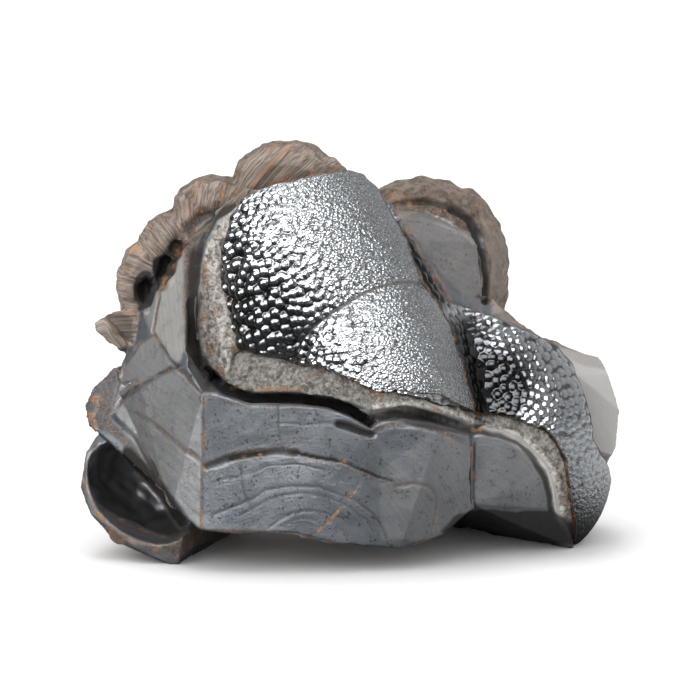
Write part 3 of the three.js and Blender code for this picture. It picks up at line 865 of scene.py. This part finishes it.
# Faces of their own tone, some with painted light and shade as noted: an outline of pixels, a finish
# and its share
FACES = [
    # The faces at the left below: paler patina, and partly painted light, made paler for the light
    # that falls on them
    ([(183, 246), (189, 262), (188, 300), (187, 345), (178, 363), (170, 358), (155, 333),
      (160, 295), (170, 265)], "light", 0.85),
    ([(160, 288), (163, 305), (157, 330), (150, 335), (146, 318), (150, 298)], "light", 0.5),
    ([(152, 335), (168, 359), (172, 364), (156, 376), (131, 389), (113, 403), (122, 368),
      (140, 345)], "light", 0.5),
    ([(241, 197), (222, 207), (200, 218), (186, 240), (190, 262), (207, 235), (225, 215)],
     "light", 0.35),
    ([(206, 398), (300, 408), (372, 432), (392, 478), (297, 450), (206, 460)], "dark", 0.2),
    ([(177, 366), (200, 392), (203, 462), (200, 530), (160, 480), (128, 432), (113, 408)],
     "light", 0.38),
    ([(380, 470), (440, 428), (472, 440), (472, 510), (440, 540), (380, 540)], "light", 0.2),
    ([(474, 430), (520, 445), (548, 480), (552, 511), (474, 511)], "light", 0.22),
    ([(392, 206), (420, 203), (448, 208), (470, 219), (482, 240), (484, 275), (482, 312),
      (437, 270), (405, 222)], "light", 0.3),
    ([(398, 212), (420, 208), (448, 212), (470, 224), (480, 250), (480, 310), (440, 280)], "brown",
     0.25),
    ([(415, 178), (445, 176), (472, 192), (500, 230), (512, 300), (490, 300), (484, 240),
      (468, 214), (448, 204), (420, 200)], "brown", 0.3),
    ([(226, 206), (246, 190), (240, 230), (232, 290), (236, 340), (225, 382), (204, 362),
      (196, 340), (197, 290), (208, 245)], "light", 0.75),
    ([(372, 404), (430, 402), (478, 420), (530, 436), (556, 470), (566, 520), (577, 546),
      (556, 520), (545, 470), (500, 436), (430, 415), (374, 414)], "light", 1.0),
    ([(88, 402), (100, 372), (124, 366), (113, 403), (113, 428), (90, 422)], "brown", 0.5),
    ([(104, 315), (120, 311), (134, 318), (133, 342), (112, 332)], "dark", 0.6),
    # Painted dark reflection: the faces under the recessed face darkened for the shaded floor they
    # show
    ([(453, 516), (480, 509), (552, 511), (580, 527), (577, 545), (520, 546), (440, 532)],
     "dark", 0.9),
    # Paler patina, and painted light: the block at the right made paler still for the light on its
    # faces
    (BLOCK_OUTLINE, "light", 1.0),
    ([(545, 334), (608, 358), (612, 372), (585, 366), (552, 352)], "brown", 0.35),
    ([(478, 203), (498, 222), (514, 262), (514, 308), (492, 314), (491, 262), (482, 230)],
     "light", 0.6),
    ([(94, 325), (112, 316), (132, 328), (130, 348), (106, 348)], "light", 0.3),
    ([(97, 440), (82, 473), (100, 520), (115, 541), (161, 552), (176, 564), (189, 549), (215, 541),
      (270, 531), (200, 528), (186, 529), (170, 540), (125, 523), (98, 503), (85, 476), (99, 449)],
     "brown", 0.7),
]
# What shows as deep black gloss in the hollow of the shell
HOLLOW_OUTLINE = [
    (104, 446), (88, 476), (100, 503), (125, 521), (170, 538), (190, 530), (170, 499), (150, 473),
    (124, 448),
]
# Where the brown crust meets the ore, going round it, and the outlines of other parts, in pixels
CRUST_EDGE = [
    (360, 190), (300, 195), (262, 200), (235, 204), (222, 207), (200, 215), (183, 227), (170, 246),
    (157, 262), (149, 290), (140, 313), (134, 345), (110, 350),
]
CRUST_OUTLINE = CRUST_EDGE + [(60, 350), (60, 100), (360, 100)]
CORNER_OUTLINE = [
    (388, 204), (420, 200), (450, 206), (472, 218), (484, 240), (489, 275), (488, 312), (530, 330),
    (470, 330), (437, 270), (420, 240), (405, 222),
]
RIND_OUTLINE = [
    (246, 190), (226, 208), (208, 240), (196, 290), (196, 340), (206, 366), (228, 386), (250, 392),
    (300, 392), (340, 399), (368, 411), (400, 407), (430, 409), (471, 424), (520, 436), (545, 458),
    (556, 490), (562, 520), (575, 546), (620, 545), (620, 470), (560, 400), (480, 330), (470, 400),
    (300, 330), (300, 200),
]
# Pixels to the millimetre in the picture, at the lump's middle
PICTURE_SCALE = 4.5
# Where the rings and the fan of bands have their middles, in pixels, and where they meet
RING_MIDDLE = (300, 556)
FAN_MIDDLE = (476, 512)
RINGS_LEFT, RINGS_RIGHT = 202, 472
# Y of the floor of the solid's slot under the ledge
SLOT_DEPTH = -31.9
# The hollow of the shell and the crust's cavities
HOLLOW = Lobe((-46, -22, 15.5), (14, 17, 9.2), (0, 38, 0))
CAVITIES = [
    Lobe((-45.2, -5, 57), (1.9, 7, 3.6), (0, 12, 0)),
    Lobe((-41.4, -5, 61.6), (1.6, 7, 3.2), (0, 22, 0)),
    Lobe((-38.6, -6, 65.8), (1.3, 6, 2.2), (0, 30, 0)),
]


def cad_copy():
    """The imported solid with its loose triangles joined, in drawn millimetres. The plain slot under
    its ledge is levelled, because the ledge is drawn again finer."""
    net = bmesh.new()
    net.from_mesh(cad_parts[LUMP].data)
    bmesh.ops.remove_doubles(net, verts=net.verts, dist=1e-6)
    mesh = bpy.data.meshes.new("solid")
    net.to_mesh(mesh)
    net.free()
    points = points_of(mesh) * 1000 + SHIFT
    near = path_distance(seen_at(points), LEDGE)[0] < 9
    floor = near & (np.abs(points[:, 1] - SLOT_DEPTH) < 0.03)
    lip = points[near & (points[:, 1] < SLOT_DEPTH - 0.05)]
    for index in np.nonzero(floor)[0]:
        points[index] = lip[np.linalg.norm(lip[:, [0, 2]] - points[index][[0, 2]], axis=1).argmin()]
    mesh.vertices.foreach_set("co", points.ravel())
    mesh.update()
    return mesh


def refined(points, squares, marked):
    """Cuts the marked squares in four, and gives their neighbours the new corners too."""
    sides = np.stack([squares, np.roll(squares, -1, 1)], 2)
    keys = np.sort(sides, 2).astype(np.int64)
    keys = keys[..., 0] * len(points) + keys[..., 1]
    cut, numbers = np.unique(keys[marked], return_inverse=True)
    numbers = numbers.reshape(-1, 4) + len(points)
    halves = points[np.stack([cut // len(points), cut % len(points)], 1)].mean(1)
    middles = points[squares[marked]].mean(1)
    middle = np.arange(len(middles)) + len(points) + len(cut)
    corners = squares[marked]
    fours = [np.stack([corners[:, side], numbers[:, side], middle, numbers[:, side - 1]], 1)
             for side in range(4)]
    faces = np.concatenate(fours).tolist()
    place = np.searchsorted(cut, keys)
    place[place == len(cut)] = 0
    touched = cut[place] == keys
    for square, row, split in zip(squares[~marked].tolist(), place[~marked], touched[~marked]):
        face = []
        for corner, number, halved in zip(square, row, split):
            face.append(corner)
            if halved:
                face.append(int(number) + len(points))
        faces.append(face)
    return np.concatenate([points, halves, middles]), faces


def tucked(points):
    """Moves the lump's surface a little way in where the skin covers it."""
    covered = np.zeros(len(points), bool)
    for lobes, outline, depth in (
        (FRONT_LOBES, FRONT_OUTLINE, FRONT_DEPTH), (RIGHT_LOBES, RIGHT_OUTLINE, RIGHT_DEPTH),
    ):
        height, normal = over_lobes(points, lobes, 0.4)
        spots = sight_place(points, depth)
        near = inside(spots, outline) | (path_distance(spots, outline, closed=True)[0] < 0.5)
        under = near & (np.abs(height) < TUCK)
        points[under] -= (height[under] + TUCK)[:, None] * normal[under]
        covered |= under
    return covered


def front_marks(points, normals, spots):
    """Shares of each finish on the front, and how far the surface stands out there, in mm."""
    facing = smooth(0.0, 0.2, -normals[:, 1]) * smooth(22, 14, points[:, 1])
    wobble = np.stack([swells(points, 2.5, 1), swells(points, 2.5, 2)], 1)
    spots = spots + wobble * 1.1
    marks = {name: np.zeros(len(points)) for name in ("dark", "brown", "rust", "light")}
    relief = np.zeros(len(points))
    broken = 0.6 + 0.4 * smooth(-0.5, 0.3, swells(points, 4, 3))
    crumbs = smooth(0.0, 0.35, swells(points, 1.8, 5))
    for path, width, rise, shares in STROKES:
        drawn = 1 - smooth(0.3 * width, 0.7 * width, path_distance(spots, path)[0])
        relief += rise * drawn
        for name, share in shares.items():
            spread = drawn * share * (crumbs if name == "rust" else broken if width < 6 else 1)
            marks[name] = np.maximum(marks[name], spread)
    for outline, name, share in FACES:
        marks[name] = np.maximum(marks[name], within(spots, outline, 3) * share)
    return {name: values * facing for name, values in marks.items()}, relief * facing


def band_place(spots):
    """A number that runs across the ore's fine bands, in millimetres."""
    x, y = spots.T
    rings = np.hypot((x - RING_MIDDLE[0]) * 0.85, y - RING_MIDDLE[1])
    stripes = np.where(y < 360, 1.1 * x - 0.1 * y, 0.75 * y - 0.65 * x)
    fan = np.hypot(x - FAN_MIDDLE[0], y - FAN_MIDDLE[1])
    bands = np.where(x < RINGS_LEFT, stripes, np.where(x < RINGS_RIGHT, rings, fan))
    return bands / 4.6


def fibre_place(points, spots):
    """A place across, along and behind the crust's fibres, which run out from its inner edge."""
    path = np.array(CRUST_EDGE, float)
    far, nearest = path_distance(spots, path)
    steps = np.linalg.norm(np.diff(path, axis=0), axis=1)
    starts = np.concatenate([[0], np.cumsum(steps)])
    along = np.zeros(len(points))
    best = np.full(len(points), 1e9)
    for index, (start, end) in enumerate(zip(path, path[1:])):
        way = (end - start) / steps[index]
        share = np.clip((nearest - start) @ way, 0, steps[index])
        off = np.linalg.norm(nearest - start - share[:, None] * way, axis=1)
        hit = off < best
        along[hit] = starts[index] + share[hit]
        best[hit] = off[hit]
    lean = 1.5 - 2.0 * along / starts[-1]
    across = (along + lean * far) / PICTURE_SCALE
    return np.stack([across, far / PICTURE_SCALE * 0.05, points[:, 1] * 0.12], 1)


def whole_normals(points, faces):
    """The normals of points on the surface that all the faces make."""
    whole = mesh_of("whole", points, faces)
    normals = normals_of(whole)
    bpy.data.meshes.remove(whole)
    return normals


def lump_surface(solid, cad_tree):
    """The solid's surface in even squares, finer in front, with its covered points tucked in."""
    target = bpy.data.objects.new("solid", solid)
    bpy.context.scene.collection.objects.link(target)
    points, squares = even_mesh(solid.copy(), LUMP_MESH, onto=target)
    bpy.data.objects.remove(target)
    normals = whole_normals(points, squares)
    covered = tucked(points.copy())
    middles = points[squares].mean(1)
    facing = -normals[squares].mean(1)[:, 1] > 0.1
    marked = facing & (middles[:, 1] < 16) & ~covered[squares].all(1)
    points, faces = refined(points, squares, marked)
    for index in range(len(covered), len(points)):
        points[index] = cad_tree.find_nearest(Vector(points[index]))[0]
    return points, faces, tucked(points)


def pit_distance(points):
    """Distance outside the crust's cavities."""
    return np.min([cavity.over(points)[0] for cavity in CAVITIES], 0)


def add_parts(marks, points, normals, spots):
    """Adds the shares of the crust, the rind, the hollow's gloss and the unseen break, and the
    painted shade in the crust's cavities.
    """
    front = smooth(-0.1, 0.1, -normals[:, 1]) * smooth(22, 16, points[:, 1])
    behind = smooth(3, 9, points[:, 1] + 2 * swells(points, 8, 6))
    crust = within(spots, CRUST_OUTLINE, 3) * smooth(-24, -16, points[:, 1])
    crust = np.maximum(crust, behind)
    crust *= 1 - within(spots, CORNER_OUTLINE, 3) * front
    block = within(spots, BLOCK_OUTLINE, 4) * front
    crust *= 1 - block
    rind = within(spots, RIND_OUTLINE, 3) * (1 - behind)
    rind *= smooth(-0.2, 0.1, -normals[:, 1]) * (1 - marks["dark"]) * (1 - block)
    hollow = np.abs(HOLLOW.over(points)[0])
    gloss = within(spots, HOLLOW_OUTLINE, 3) * smooth(1.6, 1.0, hollow)
    ragged = pit_distance(points) - 0.4 + 0.5 * swells(points, 1.8, 19)
    pit = smooth(0.5, 0.0, ragged) * (points[:, 1] < 4)
    # Painted shade: the crust's cavities darkened to near black
    marks["dark"] = np.maximum(marks["dark"], 0.97 * pit)
    crust *= 1 - pit
    gloss *= 1 - marks["dark"]
    toward = normals @ np.array([0, -1, SIGHT_SLOPE])
    unseen = smooth(0.04, -0.12, toward) * smooth(1.0, 2.0, hollow) * (1 - gloss)
    upward = smooth(-0.3, -0.12, normals[:, 1]) * smooth(-13, -7, points[:, 1]) * (1 - block)
    unseen = np.maximum(unseen, upward * (1 - pit))
    marks["gloss"] = gloss
    marks["rind"] = rind * ((1 - gloss) * (1 - unseen))
    marks["crust"] = np.maximum(crust * (1 - gloss), unseen)
    marks["back"] = np.maximum(smooth(5, 13, points[:, 1] + swells(points, 7, 23)), unseen)


def rough_relief(marks, points, fan):
    """How far the grains, fibres and chunks of each part stand out, in millimetres."""
    crust, rind, back = marks["crust"], marks["rind"], marks["back"]
    grains = (0.3 * swells(points, 2.2, 10) + 0.2 * swells(points, 1.1, 11)
              + 0.12 * swells(points, 0.7, 12))
    gentle = 0.25 * swells(points, 9, 13) + 0.04 * swells(points, 1.6, 14)
    fibres = (0.35 * swells(fan, 1.7, 15) + 0.2 * swells(fan, 0.9, 16)
              + 0.35 * swells(points, 5, 17) + 0.15 * swells(points, 1.5, 18))
    chunks = (0.6 * swells(points, 6, 24) + 0.45 * swells(points, 2.7, 25)
              + 0.2 * swells(points, 1.2, 26))
    fibres = fibres * (1 - back) + chunks * back
    corner = smooth(10, 16, points[:, 0]) * smooth(-4, 0, points[:, 1])
    fibres += 0.9 * swells(points, 4, 22) * corner
    relief = grains * rind + gentle * (1 - rind) * (1 - crust) + fibres * crust
    round_pits = smooth(3, 0.5, np.abs(pit_distance(points))) * (points[:, 1] < 4)
    relief += swells(points, 2.4, 20) * round_pits
    return relief + 0.5 * swells(points, 2.6, 21) * marks["gloss"]


def make_lump(solid, cad_tree):
    points, faces, covered = lump_surface(solid, cad_tree)
    normals = whole_normals(points, faces)
    spots = seen_at(points)
    marks, relief = front_marks(points, normals, spots)
    add_parts(marks, points, normals, spots)
    fan = fibre_place(points, spots)
    relief += rough_relief(marks, points, fan)
    relief[covered] = 0
    points += relief[:, None] * normals
    normals = whole_normals(points, faces)
    marks["band"] = band_place(spots)

    parts = {"brown_crust": [], "granular_rind": [], "banded_ore": []}
    for face in faces:
        if marks["crust"][face].mean() > 0.5:
            parts["brown_crust"].append(face)
        elif marks["rind"][face].mean() > 0.5:
            parts["granular_rind"].append(face)
        else:
            parts["banded_ore"].append(face)
    finish = OreFinish().dressed()
    for name, chosen in parts.items():
        ends = np.cumsum([len(face) for face in chosen])
        used, corners = np.unique(np.concatenate(chosen), return_inverse=True)
        split = [part.tolist() for part in np.split(corners.ravel(), ends[:-1])]
        mesh = mesh_of(name, points[used], split)
        for key, values in marks.items():
            mark(mesh, key, values[used])
        layer = mesh.attributes.new("fan", "FLOAT_VECTOR", "POINT")
        layer.data.foreach_set("vector", fan[used].astype(np.float32).ravel())
        mesh.materials.append(finish)
        piece = finished(name, mesh)
        piece.data.normals_split_custom_set_from_vertices(normals[used].tolist())


class OreFinish(Finish):
    """The finish of all that isn't skin, with a colour for each kind of surface."""

    def __init__(self):
        super().__init__("ore")
        place = self.place()
        fan = self.marked("fan", output="Vector")
        # The light mark: paler patina, and on some faces painted light
        self.light = self.marked("light")
        band = self.marked("band") + 0.8 * self.noise(place, 0.25, 2.0)
        along = self.node("ShaderNodeCombineXYZ", None, {0: band})
        self.bands = self.noise(along, 1.1, 4.0, 0.65)
        self.cloud = self.noise(place, 0.12, 3.0)
        self.grain = self.noise(place, 1.6, 5.0, 0.65)
        self.lumps = self.noise(place, 1.0, 4.0, 0.7)
        self.crumbs = self.noise(place, 0.55, 5.0, 0.7)
        self.pits = self.cells(place, 0.9)
        self.streaks = self.noise(fan, 2.4, 5.0, 0.7)
        self.veins = self.noise(fan, 0.7, 3.0, 0.6)
        self.stains = self.noise(place, 0.3, 5.0, 0.65)
        self.specks = self.noise(place, 1.7, 3.0, 0.6)
        self.pores = (self.noise(place, 1.3, 2.0) + 0.5 * self.stains).between(0.85, 0.95)

    def layered(self, tone, layers):
        """A colour under others, each with its share."""
        for share, over in layers:
            tone = self.blend(share, tone, over)
        return tone

    def banded(self):
        """Steel-grey ore with fine bands and pores, and its paler patina, paler still where light is
        painted.
        """
        steel = self.blend(self.cloud.between(0.35, 0.65),
                           (0.115, 0.127, 0.142), (0.158, 0.168, 0.183))
        patina = self.blend(self.bands.between(0.35, 0.65),
                            (0.36, 0.35, 0.33), (0.29, 0.28, 0.265))
        patina = self.blend(self.stains.between(0.5, 0.62) * 0.35, patina, (0.16, 0.15, 0.14))
        return self.layered(steel, [
            (self.bands.between(0.45, 0.7) * 0.3, (0.09, 0.095, 0.1)),
            (self.pores * 0.8, (0.05, 0.045, 0.04)),
            (self.light, patina),
            # Painted light: paler still where the light share is full, as on the block at the right
            (self.light.between(0.88, 0.98), (0.44, 0.43, 0.42)),
        ])

    def granular(self):
        """Grey grains, paler where they are light, with dark pits and rusty stains."""
        lumps = self.lumps.between(0.38, 0.62)
        grey = self.blend(lumps, (0.31, 0.3, 0.28), (0.15, 0.138, 0.122))
        pale = self.blend(lumps, (0.68, 0.65, 0.61), (0.34, 0.305, 0.275))
        return self.layered(self.blend(self.light, grey, pale), [
            (self.crumbs.between(0.52, 0.6) * 0.7, (0.07, 0.058, 0.048)),
            ((1 - self.pits.between(0.05, 0.35)) * 0.5, (0.05, 0.042, 0.036)),
            (self.stains.between(0.58, 0.68) * 0.6, (0.26, 0.12, 0.06)),
        ])

    def fibrous(self):
        """Brown fibres with rusty veins and specks."""
        fibres = self.blend(self.streaks.between(0.35, 0.65),
                            (0.37, 0.305, 0.26), (0.1, 0.082, 0.07))
        return self.layered(fibres, [
            (self.lumps.between(0.6, 0.75) * 0.3, (0.07, 0.052, 0.042)),
            (self.stains.between(0.55, 0.7) * 0.4, (0.36, 0.16, 0.07)),
            (self.veins.between(0.58, 0.68) * 0.6, (0.42, 0.19, 0.075)),
            (self.specks.between(0.66, 0.72) * 0.7, (0.45, 0.2, 0.06)),
        ])

    def broken(self):
        """The crumbly break behind and beneath."""
        crumbly = self.blend(self.crumbs.between(0.38, 0.62),
                             (0.2, 0.16, 0.135), (0.085, 0.07, 0.06))
        return self.layered(crumbly, [
            (self.cloud.between(0.5, 0.7) * 0.7, (0.1, 0.1, 0.105)),
            (self.stains.between(0.52, 0.66) * 0.5, (0.24, 0.12, 0.06)),
            ((1 - self.pits.between(0.05, 0.3)) * 0.6, (0.03, 0.025, 0.022)),
        ])

    def dressed(self):
        """The material, with each kind of surface where the marks say."""
        crust, rind, gloss, back, dark, brown, rust = (self.marked(name) for name in (
            "crust", "rind", "gloss", "back", "dark", "brown", "rust"))
        light = self.light
        weathered = self.layered(self.fibrous(), [
            (back, self.broken()), (light * 0.6, (0.42, 0.375, 0.34))])
        earthy = self.blend(self.lumps.between(0.4, 0.6), (0.12, 0.09, 0.07), (0.05, 0.038, 0.03))
        earthy = self.blend(self.specks.between(0.6, 0.66), earthy, (0.4, 0.17, 0.06))
        rusty = self.blend(self.specks.between(0.4, 0.6), (0.5, 0.27, 0.12), (0.25, 0.1, 0.04))
        # The dark share is partly dark joints, cracks and rings and partly painted shade in grooves,
        # gaps, cavities and the hollow; the brown share is partly painted shade on the grooves'
        # walls
        tone = self.layered(self.banded(), [
            (rind, self.granular()), (crust, weathered), (brown, earthy),
            (dark, (0.014, 0.012, 0.011)), (rust, rusty), (gloss, (0.085, 0.085, 0.09)),
        ])
        metallic = (0.75 * (1 - crust) * (1 - 0.6 * rind) * (1 - rust) * (1 - brown) * (1 - dark)
                    * (1 - 0.6 * light))
        roughness = (0.36 + 0.14 * self.grain + 0.22 * crust + 0.15 * rind + 0.2 * dark
                     + 0.1 * light - 0.08 * gloss)
        height = (self.grain * (0.6 + rind) * (1 - gloss)
                  + (self.lumps * 2 - self.crumbs * 3) * rind + self.pits * rind * 1.5
                  + self.streaks * crust * (1 - back) * 2.5
                  + (self.lumps * 2 + self.pits) * crust * back
                  + self.bands * (1 - crust) * (1 - rind) * 0.3)
        return self.done(specular=0.15, base_color=tone, metallic=metallic,
                         roughness=roughness, normal=self.bump(height, 0.16))


place_camera()
light_studio()
light_world()
lay_floor()
solid = cad_copy()
cad_tree = BVHTree.FromPolygons([tuple(point) for point in points_of(solid)],
                                [face.vertices[:] for face in solid.polygons])
make_skins(cad_tree)
make_lump(solid, cad_tree)
